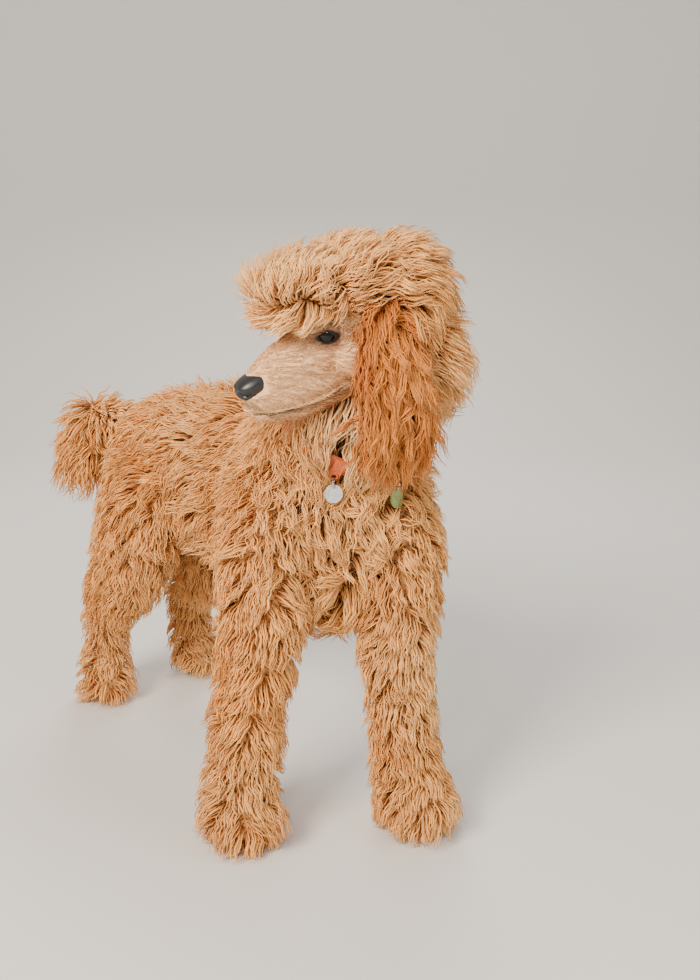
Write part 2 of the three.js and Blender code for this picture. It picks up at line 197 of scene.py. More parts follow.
def shell_of(forms, voxel, smoothing):
    """The fused outer surface of round forms, as vertices and four-sided faces."""
    bm, ball = unit_ball(20, 12)
    faces = [[vert.index for vert in face.verts] for face in bm.faces]
    bm.free()
    placed = [(ball * inner) @ axes + centre for _, centre, axes, inner, _ in forms]
    copies = [[i + k * len(ball) for i in face] for k in range(len(forms)) for face in faces]
    raw = bpy.data.meshes.new("forms")
    raw.from_pydata(np.vstack(placed).tolist(), [], copies)
    holder = linked("forms", raw)
    fuse = holder.modifiers.new("fuse", "REMESH")
    fuse.mode = "VOXEL"
    fuse.voxel_size = voxel
    even = holder.modifiers.new("even", "SMOOTH")
    even.factor = 0.5
    even.iterations = smoothing
    settled = holder.evaluated_get(bpy.context.evaluated_depsgraph_get())
    fused = bpy.data.meshes.new_from_object(settled)
    points = values_of(fused.vertices, "co", 3)
    corners = values_of(fused.loops, "vertex_index", 1, np.int64).reshape(-1, 4)
    bpy.data.objects.remove(holder)
    bpy.data.meshes.remove(raw)
    bpy.data.meshes.remove(fused)
    return points, corners


body_forms = [
    *limb_forms("torso", TRUNK, WOOL["torso"], first=24, last=34),
    *limb_forms("neck", NECK, WOOL["neck"]),
    *limb_forms("foreleg", FORE_RIGHT, WOOL["leg"], last=33),
    *limb_forms("foreleg", FORE_LEFT, WOOL["leg"], last=31),
]
for way in SIDES.values():
    body_forms += limb_forms("hindleg", on_side(THIGH, way), WOOL["leg"])
for way in SIDES.values():
    body_forms += limb_forms("hindleg", shank(way), WOOL["leg"], last=31)
body_forms += limb_forms("tail", TAIL, WOOL["tail"], least=7)
body_forms += limb_forms("tail", PLUME, WOOL["plume"], first=8, last=10, least=8)

# The head: a long clean-shaven muzzle and jaw, cheeks, lips and lids in skin, with the topknot's
# core above and the thin leather of the hanging ears. It is drawn in the head's own frame, which
# looks along -Y, and then turned to the dog's right, bowed and tilted.
HEAD = Matrix.Translation((-42.8, -319.8, 652.4))
for degrees, axis in ((-103, "Z"), (20, "X"), (8, "Y")):
    HEAD = HEAD @ Matrix.Rotation(math.radians(degrees), 4, axis)
HEAD_TURN = np.array(HEAD.to_3x3())
HEAD_AT = np.array(HEAD.translation)
MUZZLE = [
    (0, 40, -24, 44, 41),
    (0, -16, -28, 35, 38),
    (0, -54, -33, 26.5, 35),
    (0, -80, -38, 20.5, 28.5),
    (0, -94, -38, 17.5, 23.5),
]
JAW = [
    (0, 62, -52, 37, 30),
    (0, 8, -66, 25, 21.5),
    (0, -48, -74, 18.5, 15),
    (0, -78, -70, 14, 12),
    (0, -90, -66, 11, 10),
]
LIP_HALF = (2.8, 3.2)
LIP = [(6, -103, -57), (18, -84, -64), (24, -56, -67), (29, -30, -67), (31, -5, -63)]
FLEWS = [
    (12, -88, -46, 9, 15),
    (15, -60, -49, 11.5, 19),
    (17, -30, -49, 14.5, 20),
    (19, 2, -46, 17, 19),
]
SKULL = ((0, 56, -4), (50, 66, 44))
LIDS = ((27, -2, 0), (14.2, 14.2, 12.8))
BROW = ((22, -12, 13), (17, 18, 7))
CHEEK = ((33, 26, -34), (22, 34, 26))


def to_dog(points):
    """Points of the head's own frame, in the dog's frame."""
    return points @ HEAD_TURN.T + HEAD_AT


def to_head(points):
    """Points of the dog's frame, in the head's own frame."""
    return (points - HEAD_AT) @ HEAD_TURN


def turned(form):
    """A form of the head's own frame, in the dog's frame."""
    region, centre, axes, inner, wool = form
    return (region, to_dog(centre[None])[0], axes @ HEAD_TURN.T, inner, wool)


def ball_form(region, centre, radii, wool=0.0):
    """A round form whose radii hold the wool, with the wool's depth as one value or one an axis."""
    deep = np.zeros(3) + wool
    return (region, np.array(centre, float), np.eye(3), np.array(radii, float) - deep, deep)


face_forms = [
    ball_form("face", *SKULL),
    *limb_forms("face", MUZZLE, 0, steps=10, last=11),
    *limb_forms("face", JAW, 0, steps=10, last=8),
]
for way in SIDES.values():
    lip = [(*place, *LIP_HALF) for place in on_side(LIP, way)]
    face_forms += limb_forms("face", lip, 0, steps=14, first=3, last=3, least=2)
    face_forms += limb_forms("face", on_side(FLEWS, way), 0, steps=10, first=8, last=12)
    for (x, y, z), radii in (LIDS, BROW, CHEEK):
        face_forms.append(ball_form("face", (x * way, y, z), radii))
face_points, face_faces = shell_of(face_forms, voxel=1.5, smoothing=5)

# The shut mouth is a groove under the lip. Its line is that of the head's left side, and is
# measured mostly as it is seen from the side.
MOUTH = [
    (0, -107, -60),
    (8, -105, -60),
    (20, -83, -65),
    (26.5, -58, -68),
    (31, -38, -69),
    (33.5, -20, -67.5),
    (34, -6, -63),
]
SIDE_VIEW = np.array((0.25, 1, 1))
MOUTH_INSIDE = np.array((0, -30, -64))
INWARD = np.array((1, 0.15, 1))
MOUTH_EDGE = (0.5, 2.8)
MOUTH_DEEP = 3.2


def to_left(points):
    """Points of the head, with those of its right side mirrored to the left."""
    return np.column_stack([np.abs(points[:, 0]), points[:, 1:]])


def smoothstep(low, high, value):
    """0 at low and 1 at high, with a soft rise between them."""
    t = np.clip((value - low) / (high - low), 0, 1)
    return t * t * (3 - 2 * t)


def off_mouth(points):
    """How far points of the head's left side are from the mouth's line."""
    points = points * SIDE_VIEW
    line = np.array(MOUTH, float) * SIDE_VIEW
    best = np.full(len(points), np.inf)
    for a, b in zip(line[:-1], line[1:]):
        t = np.clip(((points - a) @ (b - a)) / ((b - a) @ (b - a)), 0, 1)
        best = np.minimum(best, np.linalg.norm(points - a - t[:, None] * (b - a), axis=1))
    return best


groove = 1 - smoothstep(*MOUTH_EDGE, off_mouth(to_left(face_points)))
inward = (MOUTH_INSIDE - face_points) * INWARD
inward /= np.linalg.norm(inward, axis=1)[:, None]
face_points += inward * (MOUTH_DEEP * groove)[:, None]

# The open lids lie on the eyeballs, and the skin inside their edge is sunk behind the balls.
# Distances from an eye's middle are given in shares of its opening.
EYE_AT = (27, -2, 0)
EYE_FACING = (0.84, -0.54, 0.05)
EYE_TILT = -0.26
EYE_RADIUS = 12
EYE_WIDE = 11.5
EYE_HIGH = 7.2
LID_THICK = 1.5
LID_THINS = 0.5
LID_EDGE = 0.17
LID_OPEN = 0.83
LID_REACH = 2.1
SOCKET_DEEP = 3.5


def eye_frame(way):
    """The middle of an eye and its axes: along the lids, up, and the way that it looks."""
    facing = Vector((EYE_FACING[0] * way, *EYE_FACING[1:])).normalized()
    level = Vector((0, 0, 1)).cross(facing).normalized()
    upright = facing.cross(level)
    tilt = EYE_TILT * way
    along = (level * math.cos(tilt) + upright * math.sin(tilt)).normalized()
    centre = np.array((EYE_AT[0] * way, *EYE_AT[1:]))
    return centre, np.array([along, facing.cross(along), facing])


def eye_view(points, way=SIDES["left"]):
    """Points of the head in an eye's own frame, and how far out they are, 1 at the lids' edge."""
    centre, axes = eye_frame(way)
    local = (points - centre) @ axes.T
    return local, np.hypot(local[:, 0] / EYE_WIDE, local[:, 1] / EYE_HIGH)


for way in SIDES.values():
    centre, axes = eye_frame(way)
    local, ring = eye_view(face_points, way)
    ahead = local[:, 2] > 0
    edge = ahead & (np.abs(ring - 1) < LID_EDGE)
    local[edge, :2] /= ring[edge, None]
    reach = np.linalg.norm(local, axis=1)
    wanted = EYE_RADIUS + LID_THICK - LID_THINS * smoothstep(1.0, 2.0, ring)
    lift = ahead & (ring >= LID_OPEN) & (ring < LID_REACH) & (reach < wanted)
    local[lift] *= (wanted[lift] / reach[lift])[:, None]
    inside = ahead & (ring < LID_OPEN)
    local[inside] *= ((EYE_RADIUS - SOCKET_DEEP) / reach[inside])[:, None]
    face_points = local @ axes + centre

# The skin is tucked in under the nose pad, within an oval room round it.
NOSE_AT = np.array((0.0, -93.5, -30.5))
NOSE_ROOM = np.array((20.0, 22.5, 15.0))
NOSE_TUCK = 0.66
nose_local = (face_points - NOSE_AT) / NOSE_ROOM
nose_reach = np.linalg.norm(nose_local, axis=1)
held = nose_reach < 1
face_points[held] = NOSE_AT + nose_local[held] * NOSE_ROOM * (NOSE_TUCK / nose_reach[held, None])

# The topknot's core is part of the body's shell. Each ear is a thin leather flap of its own, whose
# rows give its middle line and its half thickness and half width with the wool.
CROWN = [
    ((0, 0, 48), (70, 78, 38)),
    ((0, 52, 42), (76, 60, 46)),
    ((0, 86, 6), (84, 78, 72)),
    ((4, 104, -78), (66, 58, 76)),
]
CROWN_WOOL_SHARE = 0.55
CROWN_WOOL_MOST = 36
EAR = [(50, 60, 8, 16, 30), (67, 44, -40, 19, 42), (75, 34, -90, 21, 47), (72, 28, -135, 18, 44)]
EAR_LEATHER = 4.2
EAR_SUNK = 5
EAR_FRINGE = 9
EAR_LENGTH = 14.0
for centre, radii in CROWN:
    wool_depth = np.minimum(np.array(radii) * CROWN_WOOL_SHARE, CROWN_WOOL_MOST)
    body_forms.append(turned(ball_form("crown", centre, radii, wool_depth)))
ear_forms = []
for way in SIDES.values():
    for row, along in zip(*smooth_run(on_side(EAR, way), 8)):
        inner = np.array((EAR_LEATHER, row[4] - EAR_FRINGE, EAR_LENGTH))
        wool_depth = np.array((row[3] - EAR_SUNK, EAR_FRINGE, EAR_FRINGE))
        ear_forms.append(("ear", row[:3], axes_along(along), inner, wool_depth))
ear_points, ear_faces = shell_of(ear_forms, voxel=2.4, smoothing=3)
body_points, body_faces = shell_of(body_forms, voxel=4.6, smoothing=8)

# All the skin is one piece. Each of its points belongs to the form that it is nearest to, which
# gives the region it is in and the depth of the wool there.
REGIONS = ["torso", "neck", "foreleg", "hindleg", "tail", "crown", "face", "ear"]


def off_form(points, form):
    """How far points are outside a form, below 0 inside it."""
    _, centre, axes, inner, _ = form
    local = (points - centre) @ axes.T / inner
    return (np.linalg.norm(local, axis=1) - 1) * inner.min()


def nearest_form(points, forms):
    """The number of the form that each point is nearest to."""
    best = np.full(len(points), np.inf)
    index = np.zeros(len(points), int)
    for i, form in enumerate(forms):
        off = off_form(points, form)
        closer = off < best
        best[closer] = off[closer]
        index[closer] = i
    return index


def to_shared(points):
    """Points of the dog's frame, in metres from the shared origin."""
    return (points - MIDDLE) * MM


def set_values(mesh, name, kind, values):
    """Gives a mesh's vertices one value each, or one colour each."""
    layer = mesh.attributes.new(name, kind, "POINT")
    layer.data.foreach_set("color" if kind == "FLOAT_COLOR" else "value", np.ravel(values))


face_forms = [turned(form) for form in face_forms]
ear_forms = [turned(form) for form in ear_forms]
all_forms = []
form_index = []
skin_points = []
skin_faces = []
reached = 0
for points, faces, forms in (
    (body_points, body_faces, body_forms),
    (to_dog(face_points), face_faces, face_forms),
    (to_dog(ear_points), ear_faces, ear_forms),
):
    form_index.append(nearest_form(points, forms) + len(all_forms))
    all_forms += forms
    skin_points.append(points)
    skin_faces.append(faces + reached)
    reached += len(points)
form_index = np.concatenate(form_index)
region_of = np.array([REGIONS.index(form[0]) for form in all_forms])[form_index]
skin_points = np.vstack(skin_points)
skin_mesh = bpy.data.meshes.new("skin")
skin_mesh.from_pydata(to_shared(skin_points).tolist(), [], np.vstack(skin_faces).tolist())
skin_mesh.shade_smooth()
skin = linked("skin", skin_mesh)

# Markings: apricot wool that pales to cream on the throat and topknot, red-brown ears, and a
# pinkish tan face with black lips and eye rims. Round each eye the face is a darker pink, which is
# partly its skin and partly painted shade. Skin and wool take them from the same function.
APRICOT = np.array((0.80, 0.350, 0.085))
PALE = np.array((0.93, 0.530, 0.200))
CREAM = np.array((0.95, 0.680, 0.370))
RUST = np.array((0.56, 0.155, 0.026))
TAN = np.array((0.88, 0.505, 0.255))
# Darker pink round the eyes: partly the skin's own colour and partly painted shade.
PINK_SKIN_AND_SHADE = np.array((0.40, 0.220, 0.150))
STUBBLE = np.array((0.17, 0.110, 0.080))
BLACK = np.array((0.022, 0.017, 0.016))
MOTTLE_SIZE = {"body": 42, "crown": 26, "ear": 20, "face": 18, "stubble": 3}
THROAT = (np.array((0, 40, -104)), np.array((70, 60, 46)))
SNOUT_TIP = (np.array((0, -104, -46)), np.array((15, 13, 12)))
RIM_FADE = (1.06, 1.42)
# How far out the darker pink and painted shade round each eye reach, in shares of its opening.
EYE_SHADE_FADE = (1.3, 2.5)
LIP_FADE = (0.9, 2.6)


def swirl(points, scale, start=0.0):
    """A smooth value between -1 and 1 that wanders over the body."""
    p = points / scale + start
    return (np.sin(p[:, 0] + 1.7 * np.sin(p[:, 1] * 0.9 + 1.3)) +
            np.sin(p[:, 1] * 1.1 + 1.5 * np.sin(p[:, 2] * 0.8)) +
            np.sin(p[:, 2] * 1.2 + 1.6 * np.sin(p[:, 0] * 0.7 + 0.4))) / 3


def blend(first, second, share):
    """Rows from the first value to the second, by each row's share."""
    return first + (second - first) * share[:, None]


def close_to(points, place, sizes):
    """1 at a place, falling away softly over the sizes given."""
    return np.exp(-(((points - place) / sizes) ** 2).sum(1))


def markings_and_eye_shade(points, regions):
    """The colour at points of the dog's frame by the region of each, with painted shade round the
    eyes.
    """
    head = to_head(points)
    crown = regions == REGIONS.index("crown")
    ear = regions == REGIONS.index("ear")
    face = regions == REGIONS.index("face")
    colour = blend(APRICOT, PALE, 0.5 + 0.35 * swirl(points, MOTTLE_SIZE["body"]))
    nape = smoothstep(20, 130, head[crown, 1] - 0.4 * head[crown, 2])
    warm = 0.15 + 0.55 * nape + 0.25 * swirl(points[crown], MOTTLE_SIZE["crown"])
    colour[crown] = blend(PALE, APRICOT, warm.clip(0, 1))
    colour[ear] = blend(RUST, APRICOT, 0.35 + 0.35 * swirl(points[ear], MOTTLE_SIZE["ear"]))
    colour = blend(colour, CREAM, 0.75 * close_to(head, *THROAT) * ~ear)
    colour[face] = blend(TAN, CREAM, 0.35 + 0.3 * swirl(points[face], MOTTLE_SIZE["face"]))
    speckle = 0.75 + 0.35 * swirl(points, MOTTLE_SIZE["stubble"])
    stubble = (0.75 * close_to(head, *SNOUT_TIP) * speckle).clip(0, 0.8)
    local, ring = eye_view(to_left(head))
    ahead = local[:, 2] > 0
    # Round each eye the face turns a darker pink: partly its skin and partly painted shade in the
    # eye's hollow.
    lids = 0.6 * ((1 - smoothstep(*EYE_SHADE_FADE, ring)) * ahead)
    rims = (1 - smoothstep(*RIM_FADE, ring)) * ahead
    lips = 0.93 * (1 - smoothstep(*LIP_FADE, off_mouth(to_left(head))))
    colour = blend(colour, PINK_SKIN_AND_SHADE, lids * face)
    colour = blend(colour, STUBBLE, stubble * face)
    return blend(colour, BLACK, np.maximum(lips, rims) * face)


def with_alpha(colour):
    """Colours with a fourth value of 1."""
    return np.column_stack([colour, np.ones(len(colour))])


set_values(skin.data, "markings_and_eye_shade", "FLOAT_COLOR", with_alpha(markings_and_eye_shade(skin_points, region_of)))

# The skin's unwrap, which the wool's own patches take their places from.
bpy.context.view_layer.objects.active = skin
skin.select_set(True)
bpy.ops.object.mode_set(mode="EDIT")
bpy.ops.mesh.select_all(action="SELECT")
bpy.ops.uv.smart_project(angle_limit=math.radians(66), island_margin=0.001)
bpy.ops.object.mode_set(mode="OBJECT")
skin.select_set(False)
skin.data.uv_layers[0].name = "OFBake"

# The hide's finish: soft, a little mottled, and finely pored.
HIDE_FINISH = {"Roughness": 0.62, "Specular IOR Level": 0.35}
HIDE_MOTTLE = ((0.3, (0.84, 0.80, 0.78)), (0.7, (1.06, 1.04, 1.02)))


def node(tree, kind, **values):
    """A new shader node, with its inputs and settings as given."""
    made = tree.nodes.new(kind)
    for key, value in values.items():
        if key in made.inputs:
            made.inputs[key].default_value = value
        else:
            setattr(made, key, value)
    return made


def new_material(name, finish):
    """A material whose surface has the values given, with its node tree and its surface."""
    material = bpy.data.materials.new(name)
    material.use_nodes = True
    tree = material.node_tree
    tree.nodes.clear()
    out = tree.nodes.new("ShaderNodeOutputMaterial")
    surface = tree.nodes.new("ShaderNodeBsdfPrincipled")
    for socket, value in finish.items():
        surface.inputs[socket].default_value = value
    tree.links.new(surface.outputs[0], out.inputs[0])
    return material, tree, surface


def attribute(tree, name, output="Fac"):
    """The mesh's own values or, as output Color, its colours."""
    return node(tree, "ShaderNodeAttribute", attribute_name=name).outputs[output]


def mixed(tree, kind, share, first, second):
    """Mixes two colours; each of share, first and second is a socket or a value."""
    made = node(tree, "ShaderNodeMix", data_type="RGBA", blend_type=kind)
    for number, value in ((0, share), (6, first), (7, second)):
        if isinstance(value, bpy.types.NodeSocket):
            tree.links.new(value, made.inputs[number])
        else:
            made.inputs[number].default_value = value
    return made.outputs[2]


def ramp(tree, value, stops):
    """Turns a value into colours, by stops of a place and a colour each."""
    made = tree.nodes.new("ShaderNodeValToRGB")
    while len(made.color_ramp.elements) < len(stops):
        made.color_ramp.elements.new(0.5)
    for element, (place, colour) in zip(made.color_ramp.elements, stops):
        element.position = place
        element.color = (*colour, 1)
    tree.links.new(value, made.inputs[0])
    return made.outputs[0]


def noise(tree, scale, vector=None, detail=4.0):
    """Cloudy noise in the object's own place, or over the vector given."""
    made = node(tree, "ShaderNodeTexNoise", Scale=scale, Detail=detail)
    if vector is None:
        vector = tree.nodes.new("ShaderNodeTexCoord").outputs["Object"]
    tree.links.new(vector, made.inputs["Vector"])
    return made.outputs[0]


def dress(tree, surface, colour, height, strength, distance):
    """Gives a surface its colour and its fine relief, whose depth is in metres."""
    relief = node(tree, "ShaderNodeBump", Strength=strength, Distance=distance)
    tree.links.new(height, relief.inputs["Height"])
    tree.links.new(relief.outputs[0], surface.inputs["Normal"])
    tree.links.new(colour, surface.inputs["Base Color"])


hide, tree, surface = new_material("hide", HIDE_FINISH)
mottled = ramp(tree, noise(tree, scale=120), HIDE_MOTTLE)
colour = mixed(tree, "MULTIPLY", 1.0, attribute(tree, "markings_and_eye_shade", "Color"), mottled)
dress(tree, surface, colour, noise(tree, scale=900), strength=0.5, distance=0.0008)
skin.data.materials.append(hide)
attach(skin, "root")
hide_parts("head", "neck", "tail", "foreleg_right", "foreleg_left", "hindleg_right",
            "thigh_right", "hindleg_left", "thigh_left", "torso", "ear_left", "ear_right")

# The wool: fine curved tufts of three sides, each rooted in the skin and gathered with its
# neighbours into a wavy lock. They lie back along the trunk, down the legs and neck, up and back
# over the topknot, and down the ears; the face has only very short flat hair.
WOOL_FINISH = {
    "Roughness": 0.66,
    "Specular IOR Level": 0.12,
    "Sheen Weight": 0.08,
    "Sheen Roughness": 0.45,
    "Sheen Tint": (1.0, 0.86, 0.70, 1),
}
ROOT_TO_TIP = ((0.0, (0.62, 0.52, 0.44)), (0.45, (0.95, 0.93, 0.90)), (1.0, (1.18, 1.24, 1.32)))
LOCK_TONES = ((0.0, (0.76, 0.70, 0.66)), (0.5, (1.0, 1.0, 1.0)), (1.0, (1.16, 1.18, 1.2)))
HAIR_TONES = ((0.3, (0.82, 0.79, 0.76)), (0.7, (1.1, 1.1, 1.1)))
fibre, tree, surface = new_material("wool", WOOL_FINISH)
strand = node(tree, "ShaderNodeUVMap", uv_map="strand").outputs[0]
hairs = noise(tree, scale=1.0, vector=strand, detail=2.0)
colour = attribute(tree, "markings_and_eye_shade", "Color")
for value, tones in (
    (attribute(tree, "tip"), ROOT_TO_TIP),
    (attribute(tree, "shade"), LOCK_TONES),
    (hairs, HAIR_TONES),
):
    colour = mixed(tree, "MULTIPLY", 1.0, colour, ramp(tree, value, tones))
dress(tree, surface, colour, hairs, strength=0.35, distance=0.0006)


def unit(vectors):
    """Vectors of length 1 that point the same way."""
    return vectors / np.maximum(np.linalg.norm(vectors, axis=-1, keepdims=True), 1e-9)


skin.data.calc_loop_triangles()
tri_corners = values_of(skin.data.loop_triangles, "vertices", 3, np.int64)
tri_loops = values_of(skin.data.loop_triangles, "loops", 3, np.int64)
skin_normals = values_of(skin.data.vertex_normals, "vector", 3)
skin_uv = values_of(skin.data.uv_layers["OFBake"].data, "uv", 2)
corner_points = skin_points[tri_corners]
tri_edges = corner_points[:, 1:] - corner_points[:, :1]
tri_area = np.linalg.norm(np.cross(tri_edges[:, 0], tri_edges[:, 1]), axis=1) / 2
tri_middle = corner_points.mean(axis=1)
tri_region = region_of[tri_corners[:, 0]]

# Where no wool grows: in a thin line under the strap, round the eyes, nose and mouth, and where
# one form is buried in another.
BURIED = -1.0
STRAP_BARE = 1.5
STRAP_LOWEST = 440
EYE_BARE = 1.3
NOSE_BARE = 1.03
MOUTH_BARE = 1.5


def buried_in(forms):
    """Which triangles of the skin lie inside any of the forms."""
    found = np.zeros(len(tri_middle), bool)
    for form in forms:
        found |= off_form(tri_middle, form) < BURIED
    return found


on_trunk = tri_region <= REGIONS.index("neck")
on_face = tri_region == REGIONS.index("face")
face_or_ear = tri_region >= REGIONS.index("face")
trunk_forms = [form for form in body_forms if form[0] in ("torso", "neck")]
in_face = buried_in(face_forms) & ~face_or_ear
in_trunk = buried_in(trunk_forms) & face_or_ear
neck_line, neck_ways = smooth_run(NECK, 30)
halfway = len(neck_line) // 2
strap_at = neck_line[halfway, :3]
off_strap = np.abs((tri_middle - strap_at) @ unit(neck_ways[halfway]))
by_strap = (off_strap < STRAP_BARE) & on_trunk & (tri_middle[:, 2] > STRAP_LOWEST)
on_left = to_left(to_head(tri_middle))
local, ring = eye_view(on_left)
by_eye = (ring < EYE_BARE) & (local[:, 2] > 0)
by_nose = np.linalg.norm((on_left - NOSE_AT) / NOSE_ROOM, axis=1) < NOSE_BARE
by_mouth = off_mouth(on_left) < MOUTH_BARE
bald = in_face | in_trunk | by_strap | ((by_eye | by_nose | by_mouth) & on_face)

# The tufts stay within a small margin of the model's box, and clear of the floor, the eyes and
# the fittings that show on the collar. A share of each fitting's size is kept clear round it.
BOX_MARGIN = 5
SHORTEST = 0.2
LINE_OFF_FLOOR = 2.0
WOOL_OFF_FLOOR = 0.8
FITTING_SHARES = {"collar_keeper": 0.36, "tag_grey": 0.5, "collar_buckle": 0.5, "tag_green": 0.5}
BEHIND_FITTING = -7
EYE_FRONT = 4
EYE_CLEAR = 17


def from_shared(corner):
    """A corner of a box in the shared frame, in the dog's frame."""
    return np.array(corner) / MM + MIDDLE


box_low = from_shared(cad_low) - BOX_MARGIN
box_high = from_shared(cad_high) + BOX_MARGIN
fittings = []
for name, share in FITTING_SHARES.items():
    low, high = (from_shared(corner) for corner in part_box(name))
    middle = (low + high) / 2
    outward = unit((middle - strap_at) * (1, 1, 0))
    fittings.append((middle, outward, share * (high - low)[[0, 2]].max()))


def kept_in_box(line, roots):
    """Shortens the tufts that would reach past the box, and lifts them off the floor."""
    grown = line - roots[:, None]
    room = np.where(grown > 0, box_high - roots[:, None], roots[:, None] - box_low)
    fits = (room / np.maximum(np.abs(grown), 1e-6)).min(axis=(1, 2)).clip(SHORTEST, 1)
    line = roots[:, None] + grown * fits[:, None, None]
    line[..., 2] = np.maximum(line[..., 2], LINE_OFF_FLOOR)
    return line


def clear_tufts(line, region):
    """Which tufts leave the fittings and the eyes in view."""
    clear = np.ones(len(line), bool)
    if region in ("torso", "neck", "ear"):
        for middle, outward, radius in fittings:
            away = line - middle
            ahead = away @ outward
            off = np.linalg.norm(away - ahead[..., None] * outward, axis=2)
            clear &= ~((ahead > BEHIND_FITTING) & (off < radius)).any(1)
    if region != "face":
        for way in SIDES.values():
            centre, axes = eye_frame(way)
            away = (to_head(line) - centre) @ axes.T
            off = np.hypot(away[..., 0], away[..., 1])
            clear &= ~((away[..., 2] > EYE_FRONT) & (off < EYE_CLEAR)).any(1)
    return clear


# How one piece of wool grows: roots spread over the skin, gathered into locks, combed along the
# body, and drawn out as wavy lines that are given three sides each. RINGS are places from root to
# tip, and THICK is the share of the full thickness at each of them but the tip, which is a point.
TUFT_RINGS = np.array((0.0, 0.2, 0.42, 0.63, 0.82, 1.0))
TUFT_THICK = np.array((0.9, 1.0, 1.0, 0.86, 0.58))
HAIR_RINGS = np.array((0.0, 0.5, 1.0))
HAIR_THICK = np.array((1.0, 0.75))
HAIR_DEEP = 2.4
THICKNESSES = (0.75, 1.25)
TUFT_LENGTHS = (0.82, 1.12)
LOCK_LENGTHS = (0.85, 1.1)
LOCK_SWINGS = (0.6, 1.3)
STRAY_PHASE = 0.35
DRIFT_SHARE = 0.7
DRIFT_SIZE = 30
OWN_WAY = 0.25
TUFT_TONE = 0.10
LOCK_TONE = 0.16
PATCH_WIDE = 0.003
STRAND_SIZE = (9.0, 2.0)
STRAND_SHIFT = 60

# The ways that the wool lies: x to the dog's left, y to its back and z up. Those of the fringe and
# the face are in the head's own frame, and the neck's is added to the torso's.
LIES = {
    "torso": (0.0, 0.62, -0.62),
    "chest": (0.0, 0.0, -1.0),
    "neck": (0.0, -0.3, -0.4),
    "foreleg": (0.0, 0.15, -1.0),
    "hindleg": (0.0, 0.15, -1.0),
    "tail": (0.0, 0.1, -0.8),
    "ear": (0.0, 0.05, -1.0),
    "fringe": (0.0, -0.9, -0.3),
    "face": (0.0, 1.0, -0.25),
}
CHEST_TURN = (-120, -250)
NAPE_TURN = (70, 120)
FRINGE_BACK = 20
PLUME_MIDDLE = np.array((-60, 335, 425))


def spread_roots(region, keep, count, rng):
    """Roots spread evenly over a region: their places, normals, unwrap places and forms."""
    chosen = (tri_region == REGIONS.index(region)) & ~bald
    if keep is not None:
        chosen &= keep(tri_middle)
    triangles = np.flatnonzero(chosen)
    total = np.cumsum(tri_area[triangles])
    steps = (np.arange(count) + rng.random(count)) / count * total[-1]
    picked = triangles[np.searchsorted(total, steps).clip(0, len(triangles) - 1)]
    u = rng.random(count)
    v = rng.random(count)
    over = u + v > 1
    u[over] = 1 - u[over]
    v[over] = 1 - v[over]
    weights = np.column_stack([1 - u - v, u, v])[:, :, None]
    corners = tri_corners[picked]
    roots = (corner_points[picked] * weights).sum(1)
    normals = unit((skin_normals[corners] * weights).sum(1))
    spots = (skin_uv[tri_loops[picked]] * weights).sum(1)
    return roots, normals, spots, form_index[corners[:, 0]]


def depth_over(forms, normals):
    """How deep the wool is at each root, from the form under it and the way the skin faces."""
    depths = np.array([form[4] for form in all_forms])[forms]
    axes = np.array([form[2] for form in all_forms])[forms]
    facing = np.einsum("nij,nj->ni", axes, normals)
    return (facing**2 * depths).sum(1)


def leaders_of(roots, lock, rng):
    """The tuft that leads each tuft's lock, which is the nearest of those drawn."""
    count = len(roots)
    leaders = rng.choice(count, max(count // lock, 1), replace=False)
    tree = KDTree(len(leaders))
    for i, leader in enumerate(leaders):
        tree.insert(roots[leader], i)
    tree.balance()
    return leaders[[tree.find(root)[1] for root in roots]]


def lie_of(region, points, normals):
    """The way that the wool lies, before it is laid along the skin."""
    lie = np.zeros_like(points)
    if region in ("torso", "neck"):
        lie = blend(lie + LIES["torso"], LIES["chest"], smoothstep(*CHEST_TURN, points[:, 1]))
        if region == "neck":
            lie += LIES["neck"]
    elif region == "tail":
        lie = 0.6 * unit(points - PLUME_MIDDLE)
        lie += LIES["tail"]
    elif region == "crown":
        head = to_head(points)
        rising = 0.75 - head[:, 1] * 0.014
        top = np.column_stack([head[:, 0] * 0.010, np.full(len(head), 0.55), rising])
        underside = smoothstep(0.25, -0.35, (normals @ HEAD_TURN)[:, 2])
        lie = blend(top, LIES["fringe"], underside * (head[:, 1] < FRINGE_BACK)) @ HEAD_TURN.T
        lie[:, 2] -= 0.8 * smoothstep(*NAPE_TURN, head[:, 1])
    elif region == "face":
        lie = (lie + LIES["face"]) @ HEAD_TURN.T
    else:
        lie += LIES[region]
    return lie


def combed(region, roots, normals, leader, wander, seed, rng):
    """The way that each tuft lies along the skin, turned with its lock."""
    lie = lie_of(region, roots, normals)
    lie = unit(lie - normals * (lie * normals).sum(1)[:, None])
    turn = rng.normal(0, wander, len(roots))[leader]
    turn = turn + DRIFT_SHARE * wander * swirl(roots[leader], DRIFT_SIZE, seed)
    side = np.cross(normals, lie)
    lie = lie * np.cos(turn)[:, None] + side * np.sin(turn)[:, None]
    return unit(OWN_WAY * lie + lie[leader] - normals * (lie[leader] * normals).sum(1)[:, None])


def tuft_faces(rings):
    """The faces of one tuft, with each corner's vertex, share of the way round and of the length."""
    tip = rings * 3
    faces = [(r * 3 + c, r * 3 + (c + 1) % 3, r * 3 + 3 + (c + 1) % 3, r * 3 + 3 + c)
             for r in range(rings - 1) for c in range(3)]
    faces += [(tip - 3 + c, tip - 3 + (c + 1) % 3, tip) for c in range(3)]
    faces += [(0, 2, 1)]
    around = []
    for face in faces:
        spots = [i % 3 if i < tip else 1 for i in face]
        wraps = {0, 2} <= set(spots) and 1 not in spots
        around += [3 if wraps and spot == 0 else spot for spot in spots]
    corners = np.array([i for face in faces for i in face])
    along = np.array([i // 3 / rings if i < tip else 1 for i in corners])
    return faces, corners, np.column_stack([np.array(around) / 3, along])


